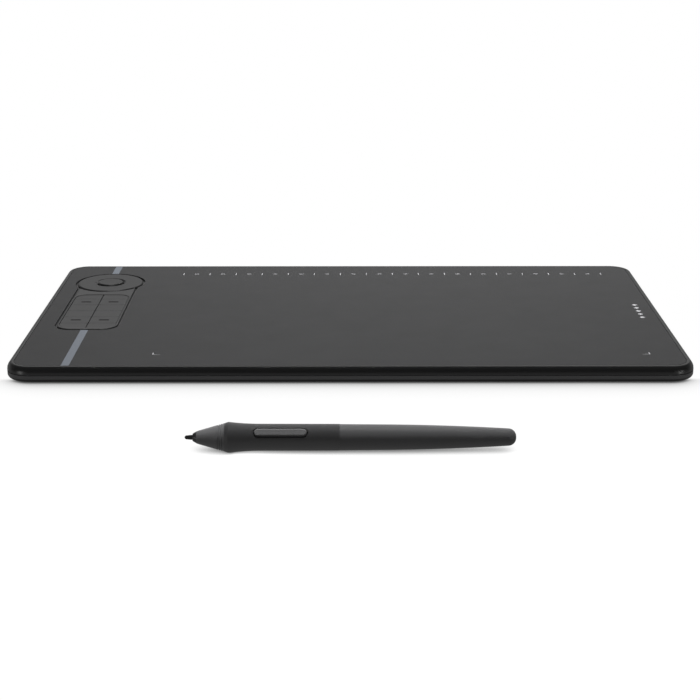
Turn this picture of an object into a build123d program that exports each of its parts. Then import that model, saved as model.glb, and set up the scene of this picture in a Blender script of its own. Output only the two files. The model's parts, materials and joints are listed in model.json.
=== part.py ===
from build123d import *
import os

# A pen drawing tablet with its stylus lying in front of it, in millimetres.
# +X runs along the tablet's long side, +Y away from the user, +Z up. The desk is z = 0.
# The origin is on the desk, under the centre of the box that holds tablet and stylus.

os.makedirs("parts", exist_ok=True)

# --- driving dimensions: tablet casing ---
WIDTH = 364.0
DEPTH = 211.0
TOP_Z = 9.0
FOOT_H = 0.6
CORNER_R = 13.0
SHOULDER_IN = 2.6       # the rounded upper edge reaches this far in from the outline ...
SHOULDER_DOWN = 3.9     # ... and this far down from the top face
BASE_R = 2.2            # rounding under the lower edge
SEAM_Z = 4.9
SEAM_GAP = 0.5
SEAM_DEPTH = 0.6
WALL = 1.8
FLOOR_T = 1.2
PLATE_T = 1.0           # top cover's plate under the drawing sheet
SHEET_T = 0.5
RIM_FLAT = 0.9          # level border between shoulder and drawing sheet
RIM_GAP = 0.3           # groove between drawing sheet and border

# --- driving dimensions: controls ---
CONTROL_X = -150.0      # axis of dial, keys and accent stripe
DIAL_Y = 62.5
DIAL_R = 20.1
DIAL_GAP = 1.4
DIAL_TOP = 9.3
DIAL_EDGE_R = 1.0
DIAL_SINK_R = 9.6       # countersink round the centre button ...
DIAL_SINK_DEPTH = 0.9
DIAL_HUB_R = 12.0
DIAL_BORE_R = 8.1
BUTTON_R = 7.7
BUTTON_TOP = 9.8
BUTTON_EDGE_R = 0.9
KEY_OPEN_W = 32.6
KEY_OPEN_L = 68.8
KEY_OPEN_R = 7.0
KEY_ROWS = 6
KEY_PITCH = 12.5
KEY_GAP = 0.25
KEY_SEAM = 0.4
KEY_TOP = 9.1
KEY_DASH_L = 6.2
KEY_DASH_W = 1.7
BEZEL_HALF_W = 17.2
BEZEL_FRONT_Y = -36.9
BEZEL_R = 9.0
BEZEL_TOP = 9.25
BEZEL_EDGE_R = 0.6
BEZEL_GAP = 1.3
STRIPE_W = 4.3
STRIPE_T = 0.1

# --- driving dimensions: stylus ---
PEN_LENGTH = 153.4
PEN_FLARE_R = 7.15
PEN_AHEAD = 201.3       # from the tablet's centre to the stylus axis
PEN_NIB_X = -77.1
PEN_BUTTON_TURN = 48.0  # the side switch is turned this far from straight up, towards the user

# --- derived places ---
BODY_Z = FOOT_H
PLATE_Z = TOP_Z - SHEET_T - PLATE_T
SHEET_Z = TOP_Z - SHEET_T
POCKET_Z = SHEET_Z - 0.5
PAD_Z = PLATE_Z - 0.3
RIM_IN = SHOULDER_IN + RIM_FLAT
FLOOR_Z = BODY_Z + FLOOR_T
CLIP_Z = (PAD_Z - 0.75, PAD_Z - 0.2)   # groove in the dial's hub for its snap ring
TABLET_Y = (PEN_AHEAD + PEN_FLARE_R - DEPTH / 2) / 2
PEN_Y = TABLET_Y - PEN_AHEAD
TABLET = Pos(0, TABLET_Y, 0)
CONTROLS = TABLET * Pos(CONTROL_X, 0, 0)
DIAL = CONTROLS * Pos(0, DIAL_Y, 0)
PEN = Pos(PEN_NIB_X, PEN_Y, PEN_FLARE_R)
PEN_SIDE = PEN * Rot(PEN_BUTTON_TURN, 0, 0)

# --- inner parts ---
SCREW_SPOTS = [(x, y) for x in (-171.0, 6.0, 171.0) for y in (-97.0, 97.0)]
SCREW_R = 0.98
SCREW_HEAD_R = 1.9
BOSS_R = 2.8
BOSS_SPLIT_Z = 3.0
FOOT_SPOTS = [(x, y) for x in (-146.0, 146.0) for y in (-90.0, 90.0)]
FOOT_LENGTH = 34.0
FOOT_WIDTH = 9.0
FOOT_SINK = 0.3
SENSOR_W = 278.0
SENSOR_D = 178.0
SENSOR_X = 27.3
SENSOR_T = 0.8
SHIELD_T = 0.3
BOARD_T = 0.8
CONTROL_BOARD_Z = 4.0
MAIN_BOARD_Z = 2.0
MAIN_BOARD_X = -90.0
MAIN_BOARD_W = 56.0
MAIN_BOARD_D = 40.0
MAIN_BOARD_BACK = 101.5
USB_X = -76.0
USB_W = 8.94
USB_H = 3.26
USB_DEPTH = 7.35
USB_SHELL_T = 0.3
POWER_X = -100.0
POWER_W = 8.0
POWER_H = 2.0
POWER_Z = 3.9
POWER_TRAVEL = 0.4
BATTERY = (70.0, 40.0, 3.6)
BATTERY_AT = (20.0, -10.0)
RIB_ROWS = (-84.0, -40.0, 44.0)
RIB_X = 30.0
RIB_LENGTH = 250.0
RIB_T = 1.2
PAD_D = 138.0           # thickened plate under dial and keys
PAD_W = 46.0
PAD_Y = 22.0


def save(shape, name):
    export_step(shape, f"parts/{name}.step")


def slab(sketch, z_low, z_high):
    """Extrude a flat sketch between two heights."""
    return extrude(Pos(0, 0, z_low) * sketch, z_high - z_low)


def disc(radius, z_low, z_high):
    return slab(Circle(radius), z_low, z_high)


def tube(outer, inner, z_low, z_high):
    return disc(outer, z_low, z_high) - disc(inner, z_low - 1, z_high + 1)


def block(x_size, y_size, z_low, z_high):
    return slab(Rectangle(x_size, y_size), z_low, z_high)


def outline(inset):
    """The tablet's plan outline, moved inwards."""
    return RectangleRounded(WIDTH - 2 * inset, DEPTH - 2 * inset, CORNER_R - inset)


def swept_rim(profile):
    """Sweep a wall profile, drawn with x = 0 on the outline and y = height, round the tablet."""
    path = outline(0).face().outer_wire()
    start = path @ 0
    forward = path % 0
    outward = Vector(forward.Y, -forward.X, 0)
    if outward.dot(Vector(start.X, start.Y, 0)) < 0:
        outward = -outward
    plane = Plane(origin=start, x_dir=outward, z_dir=outward.cross(Vector(0, 0, 1)))
    return sweep(plane * profile, path=path)


def dial_well():
    return DIAL * disc(DIAL_R + DIAL_GAP, POCKET_Z - 0.05, TOP_Z + 1)


def bezel_sketch(grow):
    """Plan of the key bezel: straight sides running up under the dial, round front corners."""
    front = BEZEL_FRONT_Y - grow
    half = BEZEL_HALF_W + grow
    length = DIAL_Y - front
    plate = Pos(0, front + length / 2) * Rectangle(2 * half, length)
    corners = plate.vertices().sort_by(Axis.Y)[:2]
    plate = fillet(corners, BEZEL_R + grow)
    return plate - Pos(0, DIAL_Y) * Circle(DIAL_R + DIAL_GAP)


def key_sketch(shrink):
    return RectangleRounded(KEY_OPEN_W - 2 * shrink, KEY_OPEN_L - 2 * shrink, KEY_OPEN_R - shrink)


def top_cover():
    outer_wall_top = TOP_Z - SHOULDER_DOWN
    shoulder = EllipticalCenterArc(
        (-SHOULDER_IN, outer_wall_top), SHOULDER_IN, SHOULDER_DOWN, start_angle=0, arc_size=90
    )
    rest = Polyline(
        (-SHOULDER_IN, TOP_Z),
        (-RIM_IN, TOP_Z),
        (-RIM_IN, SHEET_Z),
        (-RIM_IN - 2, SHEET_Z),
        (-RIM_IN - 2, PLATE_Z),
        (-WALL, PLATE_Z),
        (-WALL, SEAM_Z),
        (0, SEAM_Z),
        (0, outer_wall_top),
    )
    rim = swept_rim(make_face([shoulder, rest]))
    plate = slab(outline(RIM_IN + 1.0), PLATE_Z, SHEET_Z)
    cover = TABLET * (rim + plate)
    cover += CONTROLS * Pos(0, PAD_Y) * block(PAD_W, PAD_D, PAD_Z, PLATE_Z)
    for x, y in SCREW_SPOTS:
        cover += TABLET * Pos(x, y) * disc(BOSS_R, BOSS_SPLIT_Z, PLATE_Z)
    for x, y in SCREW_SPOTS:
        cover -= TABLET * Pos(x, y) * disc(SCREW_R + 0.02, BOSS_SPLIT_Z - 1, PLATE_Z - 0.5)
    cover -= dial_well()
    cover -= DIAL * disc(DIAL_HUB_R + 0.08, PAD_Z - 1, TOP_Z)
    cover -= CONTROLS * slab(bezel_sketch(BEZEL_GAP), POCKET_Z, TOP_Z + 1)
    cover -= CONTROLS * slab(key_sketch(0), PAD_Z - 1, TOP_Z)
    return cover - back_openings()


def bottom_cover():
    base = CenterArc((-BASE_R, BODY_Z + BASE_R), BASE_R, start_angle=-90, arc_size=90)
    rest = Polyline(
        (0, BODY_Z + BASE_R),
        (0, SEAM_Z - SEAM_GAP),
        (-SEAM_DEPTH, SEAM_Z - SEAM_GAP),
        (-SEAM_DEPTH, SEAM_Z),
        (-WALL, SEAM_Z),
        (-WALL, FLOOR_Z),
        (-WALL - 3, FLOOR_Z),
        (-WALL - 3, BODY_Z),
        (-BASE_R, BODY_Z),
    )
    rim = swept_rim(make_face([base, rest]))
    floor = slab(outline(WALL + 2), BODY_Z, FLOOR_Z)
    cover = TABLET * (rim + floor)
    for x, y in SCREW_SPOTS:
        cover += TABLET * Pos(x, y) * disc(BOSS_R, FLOOR_Z, BOSS_SPLIT_Z)
    for x, y in SCREW_SPOTS:
        cover -= TABLET * Pos(x, y) * disc(SCREW_R + 0.17, BODY_Z - 1, BOSS_SPLIT_Z + 1)
        cover -= TABLET * Pos(x, y) * disc(SCREW_HEAD_R + 0.2, BODY_Z - 1, FLOOR_Z)
    for x, y in FOOT_SPOTS:
        cover -= TABLET * Pos(x, y) * slab(foot_sketch(), BODY_Z - 1, BODY_Z + FOOT_SINK)
    for y in RIB_ROWS:
        cover += TABLET * Pos(RIB_X, y) * block(RIB_LENGTH, RIB_T, FLOOR_Z, shield_bottom())
    for x, y in control_posts():
        cover += CONTROLS * Pos(x, y) * disc(2.0, FLOOR_Z, CONTROL_BOARD_Z)
    cover += main_board_pads()
    return cover - back_openings()


def shield_bottom():
    return PLATE_Z - SENSOR_T - SHIELD_T


def control_posts():
    return [(x, y) for x in (-14.0, 14.0) for y in (-36.5, 40.0, 84.0)]


def main_board_pads():
    """Four low pads that the main board lies on."""
    pads = Part()
    for x in (-22.0, 22.0):
        for y in (-14.0, 14.0):
            at = Pos(MAIN_BOARD_X + x, MAIN_BOARD_BACK - MAIN_BOARD_D / 2 + y)
            pads += TABLET * at * disc(2.5, FLOOR_Z, MAIN_BOARD_Z)
    return pads


def upright(x, z, width, height):
    """A stadium drawn on the tablet's back wall, facing +Y."""
    face_plane = Plane(origin=(x, DEPTH / 2, z), x_dir=(-1, 0, 0), z_dir=(0, 1, 0))
    return face_plane * SlotOverall(width, height)


def usb_z():
    return MAIN_BOARD_Z + BOARD_T + USB_H / 2


def back_openings():
    """The mouths for the cable socket and the power button in the back wall."""
    usb = extrude(upright(USB_X, usb_z(), USB_W + 0.5, USB_H + 0.4), WALL + 3, both=True)
    power = extrude(upright(POWER_X, POWER_Z, POWER_W + 0.4, POWER_H + 0.4), WALL + 1, both=True)
    return TABLET * (usb + power)


def foot_sketch():
    return SlotOverall(FOOT_LENGTH, FOOT_WIDTH)


def rubber_feet():
    feet = Part()
    for x, y in FOOT_SPOTS:
        pad = slab(foot_sketch(), 0, BODY_Z + FOOT_SINK)
        feet += TABLET * Pos(x, y) * chamfer(pad.edges().group_by(Axis.Z)[0], 0.2)
    return feet


def case_screws():
    screws = Part()
    for x, y in SCREW_SPOTS:
        screw = disc(SCREW_HEAD_R, BODY_Z + 0.1, FLOOR_Z) + disc(SCREW_R, FLOOR_Z, PLATE_Z - 0.7)
        for turn in (0, 90):
            screw -= Rot(0, 0, turn) * block(2.2, 0.5, BODY_Z, BODY_Z + 0.6)
        screws += TABLET * Pos(x, y) * screw
    return screws


def drawing_sheet():
    sheet = TABLET * slab(outline(RIM_IN + RIM_GAP), SHEET_Z, TOP_Z)
    sheet -= dial_well()
    sheet -= CONTROLS * slab(bezel_sketch(BEZEL_GAP), SHEET_Z - 1, TOP_Z + 1)
    return sheet - CONTROLS * block(STRIPE_W, DEPTH, TOP_Z - STRIPE_T, TOP_Z + 1)


def accent_stripe(y_low, y_high):
    """A thin inlaid strip between two tablet-centred Y values."""
    strip = block(STRIPE_W - 0.04, y_high - y_low, TOP_Z - STRIPE_T, TOP_Z)
    return CONTROLS * Pos(0, (y_low + y_high) / 2) * strip


def accent_stripes():
    edge = DEPTH / 2 - RIM_IN - RIM_GAP
    rear = accent_stripe(DIAL_Y, edge) - dial_well()
    front = accent_stripe(-edge, BEZEL_FRONT_Y - BEZEL_GAP)
    return rear, front


def key_bezel():
    bezel = slab(bezel_sketch(0), POCKET_Z, BEZEL_TOP)
    outer_top = bezel.edges().group_by(Axis.Z)[-1]
    bezel = fillet(outer_top, BEZEL_EDGE_R)
    bezel -= slab(key_sketch(0), POCKET_Z - 1, BEZEL_TOP + 1)
    return CONTROLS * bezel


def sensor_board():
    return TABLET * Pos(SENSOR_X, 0) * block(SENSOR_W, SENSOR_D, PLATE_Z - SENSOR_T, PLATE_Z)


def shield_plate():
    top = PLATE_Z - SENSOR_T
    return TABLET * Pos(SENSOR_X, 0) * block(SENSOR_W - 4, SENSOR_D - 4, top - SHIELD_T, top)


def main_board():
    """Controller board with its main chips."""
    low = MAIN_BOARD_Z
    top = low + BOARD_T
    board = block(MAIN_BOARD_W, MAIN_BOARD_D, low, top)
    board += Pos(-4, -6) * block(9, 9, top, top + 0.9)
    board += Pos(14, 2) * block(6, 5, top, top + 1.0)
    board += Pos(-20, 8) * block(4, 3, top, top + 1.2)
    board += Pos(22, -6) * block(8, 4, top, top + 1.5)
    return TABLET * Pos(MAIN_BOARD_X, MAIN_BOARD_BACK - MAIN_BOARD_D / 2) * board


def usb_c_socket():
    mouth = DEPTH / 2 - 0.25
    shell = extrude(upright(USB_X, usb_z(), USB_W, USB_H), -(USB_DEPTH + 0.25))
    shell -= extrude(upright(USB_X, usb_z(), USB_W + 1, USB_H + 1), -0.25)
    hollow = extrude(
        upright(USB_X, usb_z(), USB_W - 2 * USB_SHELL_T, USB_H - 2 * USB_SHELL_T), -(USB_DEPTH - 0.8)
    )
    shell -= hollow
    assert abs(shell.bounding_box().max.Y - mouth) < 0.01
    return TABLET * shell


def usb_c_tongue():
    back = DEPTH / 2 - USB_DEPTH + 0.8
    length = 4.9
    return TABLET * Pos(USB_X, back + length / 2, usb_z() - 0.35) * Box(
        6.7, length, 0.7, align=(Align.CENTER, Align.CENTER, Align.MIN)
    )


def power_button():
    face_y = DEPTH / 2 - 0.1
    cap = extrude(upright(POWER_X, POWER_Z, POWER_W, POWER_H), -2.8)
    cap -= extrude(upright(POWER_X, POWER_Z, POWER_W + 2, POWER_H + 2), -(DEPTH / 2 - face_y))
    flange = Pos(0, -WALL - 0.3, 0) * extrude(upright(POWER_X, POWER_Z, POWER_W + 2.4, POWER_H + 1), -0.8)
    return TABLET * (cap + flange)


def power_switch():
    """Side-pressed switch on the main board, clear of the button over its whole travel."""
    top = MAIN_BOARD_Z + BOARD_T
    front = DEPTH / 2 - WALL - 0.3 - 0.8 - POWER_TRAVEL - 0.3
    depth = 2.6
    return TABLET * Pos(POWER_X, front - depth / 2) * block(5, depth, top, top + 2.0)


def battery_cell():
    width, depth, height = BATTERY
    cell = Pos(*BATTERY_AT) * block(width, depth, FLOOR_Z, FLOOR_Z + height)
    return TABLET * fillet(cell.edges().filter_by(Axis.Z), 1.5)


def control_board():
    """One board under keys and dial."""
    board = Pos(0, 25) * block(37, 130, CONTROL_BOARD_Z, CONTROL_BOARD_Z + BOARD_T)
    return CONTROLS * board


def key_centres():
    """(column, row, x, y, width, length) of each key inside the opening, back row first."""
    half_w = KEY_OPEN_W / 2 - KEY_GAP
    half_l = KEY_OPEN_L / 2 - KEY_GAP
    cells = []
    for column, side in (("left", -1), ("right", 1)):
        width = half_w - KEY_SEAM / 2
        x = side * (half_w + KEY_SEAM / 2) / 2
        for row in range(KEY_ROWS):
            line_back = (KEY_ROWS / 2 - row) * KEY_PITCH
            y_high = min(line_back - KEY_GAP / 2, half_l)
            y_low = max(line_back - KEY_PITCH + KEY_GAP / 2, -half_l)
            cells.append((column, row, x, (y_high + y_low) / 2, width, y_high - y_low))
    return cells


def key_switches():
    board_top = CONTROL_BOARD_Z + BOARD_T
    switches = Part()
    for _, _, x, y, _, _ in key_centres():
        switch = block(4.2, 3.2, board_top, board_top + 0.4) + disc(1.2, board_top + 0.4, board_top + 0.7)
        switches += CONTROLS * Pos(x, y) * switch
    return switches


def keys():
    """Twelve caps: one rounded pad parted into two columns of six, each with a hidden flange."""
    pad = slab(key_sketch(KEY_GAP), PAD_Z - 0.8, KEY_TOP)
    rim = slab(key_sketch(-0.8), PAD_Z - 0.8, PAD_Z - 0.2)
    pad = pad + rim
    caps = {}
    for column, row, x, y, width, length in key_centres():
        grow_x = 2.0
        grow_y = 2.0 if row in (0, KEY_ROWS - 1) else 0.0
        side = -1 if column == "left" else 1
        end = {0: 1, KEY_ROWS - 1: -1}.get(row, 0)
        cell_at = Pos(x + side * grow_x / 2, y + end * grow_y / 2)
        cell = cell_at * block(width + grow_x, length + grow_y, 0, 20)
        cap = pad & cell
        top_edges = cap.edges().group_by(Axis.Z)[-1]
        cap = chamfer(top_edges, 0.12)
        cap -= Pos(x, y) * block(width - 5.4, length - 5.4, 0, KEY_TOP - 1.0)
        cap += Pos(x, y) * disc(1.5, CONTROL_BOARD_Z + BOARD_T + 1.15, KEY_TOP - 0.9)
        if row in (1, KEY_ROWS - 2):
            cap -= Pos(x, y) * slab(SlotOverall(KEY_DASH_L, KEY_DASH_W), KEY_TOP - 0.3, KEY_TOP + 1)
        caps[f"key_{column}_{row + 1}"] = CONTROLS * cap
    return caps


def dial_ring():
    """Knurl-free ring: round outer edge, countersunk bore, hub with a groove for its clip."""
    low = POCKET_Z + 0.1
    hub_low = CONTROL_BOARD_Z + BOARD_T + 1.2
    edge_r = DIAL_EDGE_R
    upper = Polyline(
        (DIAL_R - edge_r, DIAL_TOP),
        (DIAL_SINK_R, DIAL_TOP),
        (DIAL_BORE_R, DIAL_TOP - DIAL_SINK_DEPTH),
        (DIAL_BORE_R, hub_low),
        (DIAL_HUB_R, hub_low),
        (DIAL_HUB_R, CLIP_Z[0]),
        (DIAL_HUB_R - 0.6, CLIP_Z[0]),
        (DIAL_HUB_R - 0.6, CLIP_Z[1]),
        (DIAL_HUB_R, CLIP_Z[1]),
        (DIAL_HUB_R, low),
        (DIAL_R, low),
        (DIAL_R, DIAL_TOP - edge_r),
    )
    edge = CenterArc((DIAL_R - edge_r, DIAL_TOP - edge_r), edge_r, start_angle=0, arc_size=90)
    section = Plane.XZ * make_face([upper, edge])
    return DIAL * revolve(section, Axis.Z)


def dial_clip():
    """Open snap ring that keeps the dial in the cover."""
    clip = tube(DIAL_HUB_R + 1.2, DIAL_HUB_R - 0.55, CLIP_Z[0] + 0.05, CLIP_Z[1] - 0.05)
    return DIAL * (clip - Pos(0, -DIAL_HUB_R) * block(7, 8, 0, 20))


def dial_button():
    cap = disc(BUTTON_R, POCKET_Z + 0.1, BUTTON_TOP)
    cap = fillet(cap.edges().group_by(Axis.Z)[-1], BUTTON_EDGE_R)
    stem = disc(2.5, CONTROL_BOARD_Z + BOARD_T + 1.1, POCKET_Z + 0.2)
    return DIAL * (cap + stem)


def dial_encoder():
    """Fixed half of the encoder, with the guide that the button's stem runs in."""
    board_top = CONTROL_BOARD_Z + BOARD_T
    base = disc(7.4, board_top, board_top + 1.6) + disc(4.0, board_top, board_top + 2.6)
    return DIAL * (base - disc(2.55, 0, 20))


def dial_switch():
    board_top = CONTROL_BOARD_Z + BOARD_T
    return DIAL * (disc(2.2, board_top, board_top + 0.3) + disc(1.2, board_top, board_top + 0.5))


def ribbon_cable():
    """Flat flexible cable from the control board down to the main board."""
    start_x = CONTROL_X + 15.0
    start_z = CONTROL_BOARD_Z + BOARD_T
    end_x = MAIN_BOARD_X - MAIN_BOARD_W / 2 + 6.0
    end_z = MAIN_BOARD_Z + BOARD_T
    thick = 0.2
    line = [
        (start_x, start_z),
        (start_x + 5.5, start_z),
        (end_x - 5.0, end_z),
        (end_x, end_z),
    ]
    upper = [(x, z + thick) for x, z in reversed(line)]
    face = make_face(Polyline(*line, *upper, close=True))
    strip = extrude(Plane.XZ * face, 10)
    return TABLET * Pos(0, 90, 0) * strip


def sensor_connector():
    """Board-to-board connector between the controller and the sensor layer."""
    low = MAIN_BOARD_Z + BOARD_T
    return TABLET * Pos(MAIN_BOARD_X + 8, 68) * block(14, 3.0, low, shield_bottom())


# --- stylus: every profile below is distance from the nib's tip against radius ---
NOSE_FRONT = 3.8
NOSE_REAR = 18.6
GRIP_REAR = 71.7
GRIP_JOINT = 0.02
PEN_BORE_R = 4.7
NIB_R = 1.15
NIB_TRAVEL = 0.5
SWITCH_FRONT = 32.3
SWITCH_REAR = 56.7
SWITCH_SPLIT = 50.4
SWITCH_W = 3.7
SWITCH_SEAT = 4.9
SWITCH_TOP = 6.75
SLOT_MARGIN = 0.5
SWITCH_STEMS = (41.5, 53.4)


def turned(edges):
    """Revolve a closed profile, drawn as distance and radius, about the stylus axis."""
    return PEN * revolve(Plane.XZ * make_face(edges), Axis.X)


def rod(radius, start, end):
    return PEN * Rot(0, 90, 0) * disc(radius, start, end)


def pen_nib():
    tip = ThreePointArc((0, 0), (0.28, 0.6), (0.95, 0.92))
    side = Polyline((0.95, 0.92), (3.1, NIB_R), (4.4, NIB_R), (4.4, 0.85), (13.5, 0.85), (13.5, 0), (0, 0))
    return turned([tip, side])


def pen_nose():
    """Hollow cone: dark collar at the nib, three turned rings before the grip."""
    collar = ThreePointArc((NOSE_FRONT, 1.75), (4.6, 2.25), (5.5, 2.72))
    cone = Polyline(
        (5.5, 2.72),
        (5.6, 2.86),
        (7.3, 3.4),
        (15.4, 5.72),
        (15.5, 5.5),
        (15.85, 5.6),
        (15.95, 5.87),
        (16.4, 6.0),
        (16.5, 5.78),
        (16.85, 5.88),
        (16.95, 6.16),
        (17.4, 6.29),
        (17.5, 6.07),
        (17.85, 6.17),
        (17.95, 6.42),
        (NOSE_REAR, 6.6),
        (NOSE_REAR, 3.8),
        (11.0, 3.5),
        (11.0, 1.2),
        (NOSE_FRONT, 1.2),
        (NOSE_FRONT, 1.75),
    )
    return turned([collar, cone])


def pen_slot(width, start, end, low, high):
    """A stadium-shaped bar along the stylus; heights run from the axis along the switch normal."""
    return Pos((start + end) / 2, 0, 0) * slab(SlotOverall(end - start, width), low, high)


def pen_grip():
    ridge_r = 0.4
    flare = CenterArc((20.4, PEN_FLARE_R - ridge_r), ridge_r, start_angle=83, arc_size=24)
    waist = ThreePointArc(flare @ 0, (26.0, 6.6), (34.0, 6.26))
    rest = Polyline(
        (34.0, 6.26),
        (GRIP_REAR - GRIP_JOINT, 6.15),
        (GRIP_REAR - GRIP_JOINT, PEN_BORE_R),
        (NOSE_REAR, PEN_BORE_R),
        (NOSE_REAR, 6.6),
        flare @ 1,
    )
    sleeve = turned([flare, waist, rest])
    slot = pen_slot(
        SWITCH_W + 2 * SLOT_MARGIN, SWITCH_FRONT - SLOT_MARGIN, SWITCH_REAR + SLOT_MARGIN, 3, 9
    )
    return sleeve - PEN_SIDE * slot


def pen_barrel():
    taper = ThreePointArc((95.0, 5.9), (122.0, 5.3), (150.0, 4.02))
    end = ThreePointArc((150.0, 4.02), (152.35, 2.95), (PEN_LENGTH, 0.6))
    rest = Polyline(
        (PEN_LENGTH, 0.6),
        (PEN_LENGTH, 0),
        (146.0, 0),
        (138.0, 3.2),
        (110.0, 4.2),
        (GRIP_REAR, PEN_BORE_R),
        (GRIP_REAR, 6.08),
        (95.0, 5.9),
    )
    return turned([taper, end, rest])


def pen_chassis():
    """Carrier inside the grip: a rod with a flat bed for the circuit board."""
    carrier = rod(4.2, 27.0, 100.0)
    bed = PEN_SIDE * Pos(65.5, 0, 0) * block(90, 12, 0.9, 8)
    carrier -= bed
    return carrier - rod(3.0, 26.0, 30.0)


def pen_circuit_board():
    return PEN_SIDE * Pos(66.0, 0, 0) * block(72, 7.2, 0.9, 1.7)


def pen_switch_seat():
    """Plate at the bottom of the switch slot, with a hole for each button's stem."""
    margin = SLOT_MARGIN - 0.02
    seat = pen_slot(
        SWITCH_W + 2 * margin, SWITCH_FRONT - margin, SWITCH_REAR + margin, SWITCH_SEAT - 1.2, SWITCH_SEAT
    )
    for s in SWITCH_STEMS:
        seat -= Pos(s, 0, 0) * disc(1.1, 0, 9)
    return PEN_SIDE * seat


def pen_switches():
    """Dome switches on the stylus board, under the two buttons."""
    switches = Part()
    for s in SWITCH_STEMS:
        switches += Pos(s, 0, 0) * (block(3.4, 3.2, 1.7, 2.2) + disc(0.8, 2.2, 2.45))
    return PEN_SIDE * switches


def pen_button(start, end, stem_at):
    """One end of the switch pill: rounded top edges, a stem underneath."""
    low = SWITCH_SEAT + 0.5
    pill = pen_slot(SWITCH_W, SWITCH_FRONT, SWITCH_REAR, low, SWITCH_TOP)
    pill = fillet(pill.edges().group_by(Axis.Z)[-1], 0.7)
    keep = Pos((start + end) / 2, 0, 0) * block(end - start, 20, -9, 9)
    stem = Pos(stem_at, 0, 0) * disc(0.9, 2.9, low + 0.2)
    return PEN_SIDE * ((pill & keep) + stem)


def stylus():
    split = 0.12
    parts = {
        "pen_nib": pen_nib(),
        "pen_nib_holder": rod(1.15, 13.5, 24.0),
        "pen_nose": pen_nose(),
        "pen_grip": pen_grip(),
        "pen_barrel": pen_barrel(),
        "pen_chassis": pen_chassis(),
        "pen_circuit_board": pen_circuit_board(),
        "pen_switch_seat": pen_switch_seat(),
        "pen_switches": pen_switches(),
        "pen_button_front": pen_button(SWITCH_FRONT - 1, SWITCH_SPLIT - split, SWITCH_STEMS[0]),
        "pen_button_rear": pen_button(SWITCH_SPLIT + split, SWITCH_REAR + 1, SWITCH_STEMS[1]),
        "pen_ferrite_core": rod(2.3, 12.0, 23.0) - rod(1.4, 11.0, 25.0),
        "pen_coil": rod(3.2, 13.0, 22.0) - rod(2.3, 11.0, 25.0),
        "pen_pressure_sensor": rod(2.9, 24.0 + NIB_TRAVEL + 0.2, 29.5),
    }
    return parts


def main():
    rear_stripe, front_stripe = accent_stripes()
    parts = {
        "top_cover": top_cover(),
        "bottom_cover": bottom_cover(),
        "rubber_feet": rubber_feet(),
        "case_screws": case_screws(),
        "drawing_sheet": drawing_sheet(),
        "accent_stripe_rear": rear_stripe,
        "accent_stripe_front": front_stripe,
        "key_bezel": key_bezel(),
        "sensor_board": sensor_board(),
        "shield_plate": shield_plate(),
        "main_board": main_board(),
        "usb_c_socket": usb_c_socket(),
        "usb_c_tongue": usb_c_tongue(),
        "power_button": power_button(),
        "power_switch": power_switch(),
        "battery_cell": battery_cell(),
        "control_board": control_board(),
        "key_switches": key_switches(),
        "dial_ring": dial_ring(),
        "dial_clip": dial_clip(),
        "dial_button": dial_button(),
        "dial_encoder": dial_encoder(),
        "dial_switch": dial_switch(),
        "ribbon_cable": ribbon_cable(),
        "sensor_connector": sensor_connector(),
    }
    parts.update(keys())
    parts.update(stylus())
    for name, shape in parts.items():
        save(shape, name)


main()
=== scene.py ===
"""Looks, light and camera for a pen drawing tablet and its stylus. Lengths are in metres."""

import json
import math

import bmesh
import bpy
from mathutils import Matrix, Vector


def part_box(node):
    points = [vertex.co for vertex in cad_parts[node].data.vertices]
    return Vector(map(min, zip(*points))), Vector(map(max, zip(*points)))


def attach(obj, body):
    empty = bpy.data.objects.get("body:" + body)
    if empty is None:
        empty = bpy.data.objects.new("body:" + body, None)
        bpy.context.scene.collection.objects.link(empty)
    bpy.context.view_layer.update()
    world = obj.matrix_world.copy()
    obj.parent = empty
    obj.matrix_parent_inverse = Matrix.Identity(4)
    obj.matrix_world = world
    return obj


MM = 0.001

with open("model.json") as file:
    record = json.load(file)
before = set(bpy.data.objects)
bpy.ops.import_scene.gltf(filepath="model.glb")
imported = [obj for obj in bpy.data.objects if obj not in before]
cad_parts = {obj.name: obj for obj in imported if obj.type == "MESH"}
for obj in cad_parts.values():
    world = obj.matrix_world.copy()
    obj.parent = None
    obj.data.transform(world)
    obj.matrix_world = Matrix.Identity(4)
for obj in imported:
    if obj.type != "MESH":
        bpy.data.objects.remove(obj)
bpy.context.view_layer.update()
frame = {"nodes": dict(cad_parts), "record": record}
scene = bpy.context.scene
nodes = frame["nodes"]

# --- places read from the frame ---
cover_low, cover_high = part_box("top_cover")
TABLET_X = (cover_low.x + cover_high.x) / 2
TABLET_Y = (cover_low.y + cover_high.y) / 2
TABLET_FRONT = cover_low.y
BASE_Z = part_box("bottom_cover")[0].z
SHEET_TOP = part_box("drawing_sheet")[1].z
NOSE_TIP_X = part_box("pen_nose")[0].x
BARREL_END_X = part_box("pen_barrel")[1].x
GRIP_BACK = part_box("pen_grip")[1].y


# --- camera, placed from the middle of the tablet's underside ---
CAMERA_AHEAD = 0.8583
CAMERA_HEIGHT = 0.2605
CAMERA_ASIDE = -0.0023
CAMERA_PITCH = math.radians(17.85)  # looking down
CAMERA_YAW = math.radians(-0.15)
CAMERA_LENS = 78.18   # millimetres
SENSOR_WIDTH = 36.0   # millimetres
VIEW_END = 50.0


def add_camera():
    data = bpy.data.cameras.new("camera")
    data.lens = CAMERA_LENS
    data.sensor_width = SENSOR_WIDTH
    data.clip_end = VIEW_END
    camera = bpy.data.objects.new("camera", data)
    scene.collection.objects.link(camera)
    camera.location = (TABLET_X + CAMERA_ASIDE, TABLET_Y - CAMERA_AHEAD, BASE_Z + CAMERA_HEIGHT)
    camera.rotation_euler = (math.pi / 2 - CAMERA_PITCH, 0, CAMERA_YAW)
    scene.camera = camera


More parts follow.
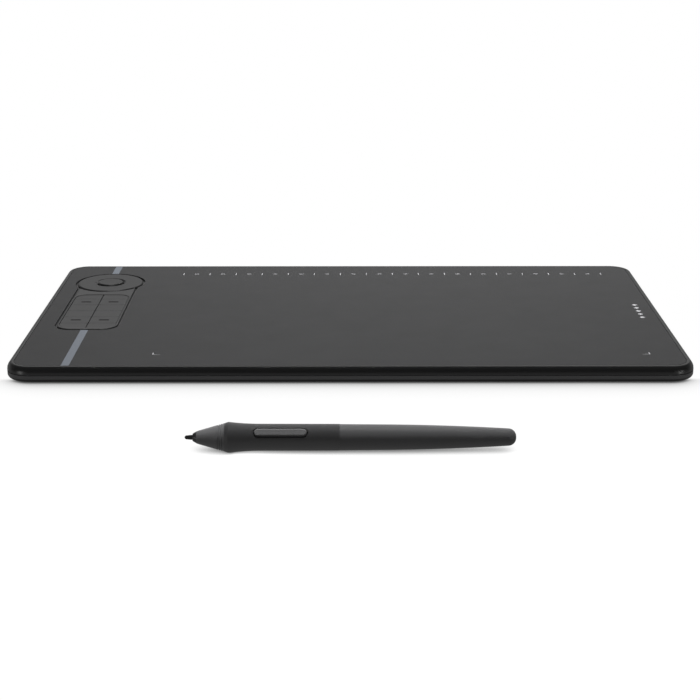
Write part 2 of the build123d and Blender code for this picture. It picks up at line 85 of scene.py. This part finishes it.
# --- shader node helpers ---
def feed(tree, socket, value):
    """Give a socket a plain number or another node's output."""
    if isinstance(value, float):
        socket.default_value = value
    else:
        tree.links.new(value, socket)


def math_node(tree, operation, first, second):
    node = tree.nodes.new("ShaderNodeMath")
    node.operation = operation
    feed(tree, node.inputs[0], first)
    feed(tree, node.inputs[1], second)
    return node.outputs[0]


def map_node(tree, source, from_low, from_high, to_low, to_high, kind="SMOOTHSTEP"):
    """Map a value from one range to another."""
    node = tree.nodes.new("ShaderNodeMapRange")
    node.interpolation_type = kind
    node.inputs["From Min"].default_value = from_low
    node.inputs["From Max"].default_value = from_high
    node.inputs["To Min"].default_value = to_low
    node.inputs["To Max"].default_value = to_high
    tree.links.new(source, node.inputs["Value"])
    return node.outputs["Result"]


def blend_values(tree, factor, first, second):
    mix = tree.nodes.new("ShaderNodeMix")
    mix.data_type = "FLOAT"
    feed(tree, mix.inputs["Factor"], factor)
    feed(tree, mix.inputs["A"], first)
    feed(tree, mix.inputs["B"], second)
    return mix.outputs["Result"]


def split_axes(tree, vector):
    """The X, Y and Z outputs of a vector socket."""
    split = tree.nodes.new("ShaderNodeSeparateXYZ")
    tree.links.new(vector, split.inputs[0])
    return split.outputs


# --- world: white to the camera, a bright low horizon behind the object for everything else ---
BACK_GLOW = 0.45
ALL_GLOW = 0.03
HORIZON_FADE = 0.62     # sine of the height where the glow ends
HORIZON_TURN = (-0.1, 0.6)  # it grows between these shares of facing straight back


def add_world():
    scene.view_settings.view_transform = "Standard"
    world = bpy.data.worlds.new("studio")
    scene.world = world
    world.use_nodes = True
    tree = world.node_tree
    tree.nodes.clear()
    out = tree.nodes.new("ShaderNodeOutputWorld")
    backdrop = tree.nodes.new("ShaderNodeBackground")
    backdrop.inputs["Color"].default_value = (1, 1, 1, 1)
    glow = tree.nodes.new("ShaderNodeBackground")
    direction = split_axes(tree, tree.nodes.new("ShaderNodeTexCoord").outputs["Generated"])
    height = map_node(tree, direction["Z"], 0.0, HORIZON_FADE, 1.0, 0.0)
    behind = map_node(tree, direction["Y"], *HORIZON_TURN, 0.0, 1.0)
    horizon = math_node(tree, "MULTIPLY", math_node(tree, "MULTIPLY", height, behind), BACK_GLOW)
    tree.links.new(math_node(tree, "ADD", horizon, ALL_GLOW), glow.inputs["Strength"])
    path = tree.nodes.new("ShaderNodeLightPath")
    mix = tree.nodes.new("ShaderNodeMixShader")
    tree.links.new(path.outputs["Is Camera Ray"], mix.inputs[0])
    tree.links.new(glow.outputs[0], mix.inputs[1])
    tree.links.new(backdrop.outputs[0], mix.inputs[2])
    tree.links.new(mix.outputs[0], out.inputs["Surface"])


# --- floor: white, with soft shade where the tablet and the stylus stand on it ---
FLOOR_HALF = 8.0
FLOOR_DROP = 0.0001     # keeps the floor clear of the feet
FLOOR_BOUNCE = 0.3      # what the floor sends back to the object
SHADE_SAMPLES = 16
SHADE_BRIGHTNESS = (0.02, 1.02)  # at the darkest and in the open
TABLET_SHADE_REACH = 0.03
TABLET_SHADE_FADE = 0.005  # the shade is seen in front of the tablet and fades along its sides
NOSE_SHADE_REACH = 0.012   # in front of the stylus's tip
NOSE_SHADE_FADE = 0.02     # from there it shrinks to the reach under the grip
PEN_SHADE_REACH = 0.0014
TAIL_SHADE_REACH = 0.0085  # added towards the tail, which hangs higher above the floor
PEN_SHADE_RANGE = (0.22, 0.82)  # shares of open sky that count as darkest and as open
PEN_SHADE_LEAN = 0.8       # radians
PEN_SHADE_EDGE = (TABLET_FRONT + GRIP_BACK) / 2  # the two shades meet here, where both are white
PEN_SHADE_BLEND = 0.005


def contact_shade(tree, reach, darkest=0.0, open_sky=1.0, lean=0.0):
    """How much open sky the floor sees within a reach, given as a number or a socket, as a brightness.

    With a lean the floor looks towards the front, so that the shade lies more behind a piece
    than before it.
    """
    shade = tree.nodes.new("ShaderNodeAmbientOcclusion")
    shade.samples = SHADE_SAMPLES
    feed(tree, shade.inputs["Distance"], reach)
    if lean:
        facing = tree.nodes.new("ShaderNodeCombineXYZ")
        facing.inputs["Y"].default_value = -math.sin(lean)
        facing.inputs["Z"].default_value = math.cos(lean)
        tree.links.new(facing.outputs["Vector"], shade.inputs["Normal"])
    return map_node(tree, shade.outputs["AO"], darkest, open_sky, *SHADE_BRIGHTNESS, "LINEAR")


def tablet_shade(tree, y):
    """Shade in front of the tablet only."""
    shade = contact_shade(tree, TABLET_SHADE_REACH)
    front = TABLET_FRONT + TABLET_SHADE_FADE
    beside = map_node(tree, y, front, front + TABLET_SHADE_FADE, 0.0, 1.0)
    return blend_values(tree, beside, shade, 1.0)


def pen_shade(tree, x):
    """Shade with a reach that shrinks from the nose to the grip and grows again to the tail."""
    nose_end = NOSE_TIP_X + NOSE_SHADE_FADE
    nose = map_node(tree, x, NOSE_TIP_X, nose_end, NOSE_SHADE_REACH, PEN_SHADE_REACH)
    tail = map_node(tree, x, nose_end, BARREL_END_X, 0.0, TAIL_SHADE_REACH, "LINEAR")
    return contact_shade(tree, math_node(tree, "ADD", nose, tail), *PEN_SHADE_RANGE, PEN_SHADE_LEAN)


def floor_material():
    material = bpy.data.materials.new("floor_white")
    material.use_nodes = True
    tree = material.node_tree
    tree.nodes.clear()
    out = tree.nodes.new("ShaderNodeOutputMaterial")
    emit = tree.nodes.new("ShaderNodeEmission")
    place = split_axes(tree, tree.nodes.new("ShaderNodeNewGeometry").outputs["Position"])
    back, front = PEN_SHADE_EDGE + PEN_SHADE_BLEND, PEN_SHADE_EDGE - PEN_SHADE_BLEND
    ahead = map_node(tree, place["Y"], front, back, 1.0, 0.0)
    shade = blend_values(tree, ahead, tablet_shade(tree, place["Y"]), pen_shade(tree, place["X"]))
    tree.links.new(shade, emit.inputs["Color"])
    path = tree.nodes.new("ShaderNodeLightPath")
    seen = map_node(tree, path.outputs["Is Camera Ray"], 0.0, 1.0, FLOOR_BOUNCE, 1.0)
    tree.links.new(seen, emit.inputs["Strength"])
    tree.links.new(emit.outputs[0], out.inputs["Surface"])
    return material


def add_floor():
    corners = [(x * FLOOR_HALF, y * FLOOR_HALF, 0) for x, y in ((-1, -1), (1, -1), (1, 1), (-1, 1))]
    mesh = bpy.data.meshes.new("floor")
    mesh.from_pydata(corners, [], [(0, 1, 2, 3)])
    mesh.materials.append(floor_material())
    floor = bpy.data.objects.new("floor", mesh)
    scene.collection.objects.link(floor)
    floor.location.z = -FLOOR_DROP


# --- lights: name, place, aim, width and height, watts, whether reflections show it ---
SOFT_LIGHTS = (
    ("back_soft", (0.05, 1.5, 1.0), (0, 0, 0), (1.6, 0.8), 3.0, True),
    ("top_soft", (0.0, 0.05, 1.1), (0, -0.02, 0), (0.4, 0.4), 25.5, False),
    ("near_back", (0.08, 0.42, 0.32), (0.04, 0.1, 0), (0.5, 0.1), 5.3, False),
    ("side_left", (-0.8, -0.65, 0.06), (-0.17, -0.05, 0), (0.2, 0.1), 0.5, True),
    ("side_right", (0.8, -0.65, 0.06), (0.17, -0.05, 0), (0.2, 0.1), 0.5, True),
)
GLOSS_LIGHT = ("overhead_gloss", (0.0, -0.1, 1.0), (0, -0.05, 0), (0.5, 0.35), 4.5, True)
GLOSSY_PIECES = ("dial_", "key_", "pen_nose", "pen_button")  # what the gloss light falls on


def add_area_light(name, place, aim, size, watts, reflected):
    data = bpy.data.lights.new(name, "AREA")
    data.shape = "RECTANGLE"
    data.size, data.size_y = size
    data.energy = watts
    light = bpy.data.objects.new(name, data)
    scene.collection.objects.link(light)
    light.location = place
    direction = Vector(aim) - Vector(place)
    light.rotation_euler = direction.to_track_quat("-Z", "Y").to_euler()
    light.visible_camera = False
    light.visible_glossy = reflected
    return light


def add_lights():
    for settings in SOFT_LIGHTS:
        add_area_light(*settings)
    gloss = add_area_light(*GLOSS_LIGHT)
    receivers = bpy.data.collections.new("gloss_receivers")
    for name, node in nodes.items():
        if name.startswith(GLOSSY_PIECES):
            receivers.objects.link(node)
    gloss.light_linking.receiver_collection = receivers


# --- materials ---
NOISE_RANGE = (0.3, 0.7)  # what a noise texture really spans
DRIFT_SCALE = 60          # slow change of the sheen, in cycles per metre
DRIFT_AMOUNT = 0.012


def grey(level):
    """A very slightly cool grey."""
    return level, level, level * 1.02


class Shader:
    """A principled material whose colour, roughness and bump come from noise on object coordinates."""

    def __init__(self, name, roughness, specular=0.5, metallic=0.0):
        self.material = bpy.data.materials.new(name)
        self.material.use_nodes = True
        self.tree = self.material.node_tree
        self.surface = self.tree.nodes["Principled BSDF"]
        self.surface.inputs["Metallic"].default_value = metallic
        self.surface.inputs["Specular IOR Level"].default_value = specular
        self.surface.inputs["Roughness"].default_value = roughness
        self.roughness = roughness
        self.coordinates = self.tree.nodes.new("ShaderNodeTexCoord").outputs["Object"]

    def link(self, source, target):
        self.tree.links.new(source, target)

    def noise(self, scale, detail=3.0, stretch=(1, 1, 1)):
        """Noise with scale in cycles per metre."""
        mapping = self.tree.nodes.new("ShaderNodeMapping")
        mapping.inputs["Scale"].default_value = stretch
        self.link(self.coordinates, mapping.inputs["Vector"])
        texture = self.tree.nodes.new("ShaderNodeTexNoise")
        texture.inputs["Scale"].default_value = scale
        texture.inputs["Detail"].default_value = detail
        self.link(mapping.outputs[0], texture.inputs["Vector"])
        return texture.outputs["Fac"]

    def step(self, axis, low, high):
        """0 below a place on an axis, 1 above it."""
        return map_node(self.tree, split_axes(self.tree, self.coordinates)[axis], low, high, 0.0, 1.0)

    def spread(self, source, low, high):
        """Stretch noise over low to high."""
        return map_node(self.tree, source, *NOISE_RANGE, low, high, "LINEAR")

    def mix_colours(self, first, second, factor):
        """Mix two colours, each a plain RGB triple or a socket."""
        mix = self.tree.nodes.new("ShaderNodeMix")
        mix.data_type = "RGBA"
        for socket, value in (("A", first), ("B", second)):
            target = next(i for i in mix.inputs if i.name == socket and i.type == "RGBA")
            if isinstance(value, tuple):
                target.default_value = (*value, 1)
            else:
                self.link(value, target)
        self.link(factor, mix.inputs[0])
        return next(o for o in mix.outputs if o.type == "RGBA")

    def noise_colour(self, dark, light, source):
        return self.mix_colours(dark, light, self.spread(source, 0, 1))

    def set_colour(self, tone):
        self.link(tone, self.surface.inputs["Base Color"])

    def drift_sheen(self):
        """Let the roughness drift slowly over the surface."""
        low, high = self.roughness - DRIFT_AMOUNT, self.roughness + DRIFT_AMOUNT
        drift = self.spread(self.noise(DRIFT_SCALE), low, high)
        self.link(drift, self.surface.inputs["Roughness"])

    def bump(self, source, height):
        bump = self.tree.nodes.new("ShaderNodeBump")
        bump.inputs["Strength"].default_value = 1.0
        bump.inputs["Distance"].default_value = height
        self.link(source, bump.inputs["Height"])
        self.link(bump.outputs["Normal"], self.surface.inputs["Normal"])


# Plastics and rubbers: tone, roughness, grain in cycles per metre, depth of the grain, specular
MOULDED = {
    "cover_black": (0.0065, 0.34, 5000, 6e-6, 0.75),
    "sheet_grey": (0.0165, 0.62, 3800, 15e-6, 0.5),
    "control_plastic": (0.0065, 0.3, 5000, 4e-6, 0.5),
    "foot_rubber": (0.02, 0.8, 2500, 30e-6, 0.5),
    "component_black": (0.02, 0.5, 3000, 10e-6, 0.5),
    "grip_rubber": (0.032, 0.5, 4200, 12e-6, 0.9),
    "pen_plastic": (0.06, 0.42, 5200, 8e-6, 0.5),
    "nib_plastic": (0.012, 0.45, 4000, 8e-6, 0.5),
    "ferrite": (0.06, 0.6, 2500, 10e-6, 0.5),
    "ribbon_amber": (0.2, 0.3, 2500, 10e-6, 0.5),
    "board_green": (0.05, 0.4, 2500, 10e-6, 0.5),
    # painted shade for the slots in the key caps
    "key_dash_painted_shade": (0.003, 0.8, 4000, 10e-6, 0.1),
}
MOULDED_CONTRAST = 0.08  # how far the grain's tone goes each way


def moulded_material(name, tone, roughness, grain, depth, specular):
    """Spark-eroded plastic: tone and relief follow one fine grain, sheen drifts slowly."""
    shader = Shader(name, roughness, specular)
    fine = shader.noise(grain, 2)
    dark, light = grey(tone * (1 - MOULDED_CONTRAST)), grey(tone * (1 + MOULDED_CONTRAST))
    shader.set_colour(shader.noise_colour(dark, light, fine))
    shader.drift_sheen()
    shader.bump(fine, depth)
    return shader.material


# Heights over which the painted shade on the lower edge gives way to the wall's own tone
PAINTED_SHADE_LOW = BASE_Z + 1.4 * MM
PAINTED_SHADE_HIGH = BASE_Z + 2.1 * MM


def lower_cover_material():
    """Painted shade: the lower edge and the underside are near black, standing for the shade that falls
    there; the upright wall above is a lighter satin band.
    """
    shader = Shader("cover_lower", 0.36)
    grain = shader.noise(5000, 2)
    band = shader.noise_colour(grey(0.095), grey(0.11), grain)
    # Painted shade: the near-black tone below the wall
    underside = shader.noise_colour(grey(0.009), grey(0.014), grain)
    shader.set_colour(shader.mix_colours(underside, band, shader.step("Z", PAINTED_SHADE_LOW, PAINTED_SHADE_HIGH)))
    shader.drift_sheen()
    shader.bump(grain, 10e-6)
    return shader.material


COLLAR_END = NOSE_TIP_X + 1.8 * MM
COLLAR_BLEND = 0.1 * MM


def nose_material():
    """The stylus plastic, a little brighter, with a near-black collar where the nib comes out."""
    shader = Shader("pen_nose", 0.36, 0.7)
    fine = shader.noise(5200, 2)
    body = shader.noise_colour(grey(0.066), grey(0.076), fine)
    behind = shader.step("X", COLLAR_END - COLLAR_BLEND, COLLAR_END + COLLAR_BLEND)
    shader.set_colour(shader.mix_colours(grey(0.012), body, behind))
    shader.drift_sheen()
    shader.bump(fine, 8e-6)
    return shader.material


def stripe_material():
    """Blue-grey satin with fine flecks."""
    shader = Shader("stripe_silver", 0.42, metallic=0.35)
    fleck = shader.noise(2600)
    shader.set_colour(shader.noise_colour((0.068, 0.076, 0.088), (0.098, 0.109, 0.127), fleck))
    shader.bump(fleck, 10e-6)
    return shader.material


def steel_material():
    """Steel with drawn streaks."""
    shader = Shader("steel", 0.35, metallic=1.0)
    streaks = shader.noise(600, 3, (1, 20, 1))
    shader.set_colour(shader.noise_colour((0.4, 0.4, 0.41), (0.6, 0.6, 0.61), streaks))
    return shader.material


def foil_material():
    """Crinkled battery foil."""
    shader = Shader("battery_foil", 0.4, metallic=0.9)
    shader.set_colour(shader.noise_colour((0.5, 0.5, 0.5), (0.7, 0.7, 0.7), shader.noise(300, 4)))
    shader.bump(shader.noise(200), 100e-6)
    return shader.material


def copper_material():
    """Wound wire, streaked across the coil."""
    shader = Shader("copper", 0.3, metallic=1.0)
    turns = shader.noise(900, 2, (8, 1, 1))
    shader.set_colour(shader.noise_colour((0.5, 0.2, 0.09), (0.7, 0.33, 0.16), turns))
    return shader.material


def ink_material():
    """Printed grey ink."""
    shader = Shader("ink_grey", 0.5, 0.4)
    shader.set_colour(shader.noise_colour((0.16, 0.16, 0.165), (0.24, 0.24, 0.245), shader.noise(4000, 2)))
    return shader.material


def make_materials():
    made = {name: moulded_material(name, *settings) for name, settings in MOULDED.items()}
    made["cover_lower"] = lower_cover_material()
    made["stripe_silver"] = stripe_material()
    made["steel"] = steel_material()
    made["battery_foil"] = foil_material()
    made["copper"] = copper_material()
    made["pen_nose"] = nose_material()
    made["ink_grey"] = ink_material()
    return made


SHARP_ANGLE = math.radians(28)


def dress_cad_nodes(materials):
    """Give every CAD node its slot's material; the nose cone has one of its own."""
    slots = {part["node"]: part["material_slot"] for part in frame["record"]["subparts"]}
    slots["pen_nose"] = "pen_nose"
    for name, node in nodes.items():
        mesh = node.data
        mesh.materials.clear()
        mesh.materials.append(materials[slots[name]])
        mesh.polygons.foreach_set("use_smooth", [True] * len(mesh.polygons))
        mesh.set_sharp_from_angle(angle=SHARP_ANGLE)


# --- mesh helpers ---
def new_piece(name, bm, material, body):
    """Turn a bmesh into a piece that rides on a CAD body."""
    bmesh.ops.recalc_face_normals(bm, faces=bm.faces)
    mesh = bpy.data.meshes.new(name)
    bm.to_mesh(mesh)
    bm.free()
    piece = bpy.data.objects.new(name, mesh)
    scene.collection.objects.link(piece)
    mesh.materials.append(material)
    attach(piece, body)


def add_prism(bm, points, low, high):
    """A closed prism over a plan polygon."""
    bottom = [bm.verts.new((x, y, low)) for x, y in points]
    top = [bm.verts.new((x, y, high)) for x, y in points]
    bm.faces.new(list(reversed(bottom)))
    bm.faces.new(top)
    count = len(points)
    for i in range(count):
        j = (i + 1) % count
        bm.faces.new((bottom[i], bottom[j], top[j], top[i]))


ROUND_STEPS = 6  # in each half-round end of a bar


def bar_points(x, y, length, width, along_y=False):
    """A bar with half-round ends in plan, about its centre."""
    radius = width / 2
    reach = length / 2 - radius
    points = []
    for end, turn in ((reach, -math.pi / 2), (-reach, math.pi / 2)):
        for step in range(ROUND_STEPS + 1):
            angle = turn + math.pi * step / ROUND_STEPS
            along = end + radius * math.cos(angle)
            across = radius * math.sin(angle)
            points.append((x - across, y + along) if along_y else (x + along, y + across))
    return points


# --- printed marks on the drawing sheet ---
AREA_CENTRE_X = 27.3 * MM  # from the middle of the tablet
AREA_W = 266.7 * MM
AREA_D = 166.7 * MM
MARK_STEPS = 32
TICK_LENGTH = 4.6 * MM
TICK_WIDTH = 0.42 * MM
DASH_LENGTH = 2.8 * MM
DASH_WIDTH = 0.8 * MM      # broader, since it is seen across its short side
CORNER_LEG = 3.6 * MM
LEG_WIDTH = 0.5 * MM
ARM_WIDTH = 0.3 * MM
INK_LOW = SHEET_TOP - 0.01 * MM
INK_HIGH = SHEET_TOP + 0.015 * MM


def printed_marks(ink):
    """Ticks and dashes in turn along the back of the working area, an L at each front corner."""
    bm = bmesh.new()
    left = TABLET_X + AREA_CENTRE_X - AREA_W / 2
    back = TABLET_Y + AREA_D / 2
    front = TABLET_Y - AREA_D / 2
    for i in range(MARK_STEPS + 1):
        x = left + AREA_W * i / MARK_STEPS
        upright = i % 2 == 0
        length, width = (TICK_LENGTH, TICK_WIDTH) if upright else (DASH_LENGTH, DASH_WIDTH)
        add_prism(bm, bar_points(x, back, length, width, upright), INK_LOW, INK_HIGH)
    for x, side in ((left, 1), (left + AREA_W, -1)):
        arm_x = x + side * (CORNER_LEG / 2 + TICK_WIDTH)
        leg = bar_points(x, front + CORNER_LEG / 2, CORNER_LEG, LEG_WIDTH, True)
        arm = bar_points(arm_x, front + ARM_WIDTH / 2, CORNER_LEG, ARM_WIDTH)
        add_prism(bm, leg, INK_LOW, INK_HIGH)
        add_prism(bm, arm, INK_LOW, INK_HIGH)
    new_piece("working_area_marks", bm, ink, "tablet")


DIAMONDS = 5
DIAMOND_PITCH = 6.4 * MM
DIAMOND_HALF = 1.75 * MM
DIAMONDS_X = 169.5 * MM    # from the middle of the tablet
DIAMONDS_Y = -1.0 * MM


def margin_mark(ink):
    """A plain row of diamonds on the right margin."""
    bm = bmesh.new()
    x = TABLET_X + DIAMONDS_X
    for i in range(DIAMONDS):
        y = TABLET_Y + DIAMONDS_Y + (i - (DIAMONDS - 1) / 2) * DIAMOND_PITCH
        right, left = (x + DIAMOND_HALF, y), (x - DIAMOND_HALF, y)
        back, front = (x, y + DIAMOND_HALF), (x, y - DIAMOND_HALF)
        add_prism(bm, [front, right, back, left], INK_LOW, INK_HIGH)
    new_piece("margin_mark", bm, ink, "tablet")


# --- painted shade: near-black bars sunk in the slots of four key caps ---
KEY_DASH_ROWS = (2, 5)
KEY_DASH_LENGTH = 6.1 * MM
KEY_DASH_WIDTH = 1.6 * MM
KEY_DASH_INWARD = 0.4 * MM  # from the middle of the cap towards the centre seam
KEY_DASH_BOTTOM = 0.3 * MM  # below the top of the cap
KEY_DASH_TOP = 0.08 * MM


def key_dashes(material):
    for column, inward in (("left", KEY_DASH_INWARD), ("right", -KEY_DASH_INWARD)):
        for row in KEY_DASH_ROWS:
            key = f"key_{column}_{row}"
            low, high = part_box(key)
            x = (low.x + high.x) / 2 + inward
            y = (low.y + high.y) / 2
            dash = bar_points(x, y, KEY_DASH_LENGTH, KEY_DASH_WIDTH)
            bm = bmesh.new()
            # Painted shade: a near-black bar filling the slot
            add_prism(bm, dash, high.z - KEY_DASH_BOTTOM, high.z - KEY_DASH_TOP)
            new_piece(f"key_dash_{column}_{row}", bm, material, key)


# --- build ---
add_camera()
add_world()
add_floor()
add_lights()
materials = make_materials()
dress_cad_nodes(materials)
printed_marks(materials["ink_grey"])
margin_mark(materials["ink_grey"])
key_dashes(materials["key_dash_painted_shade"])
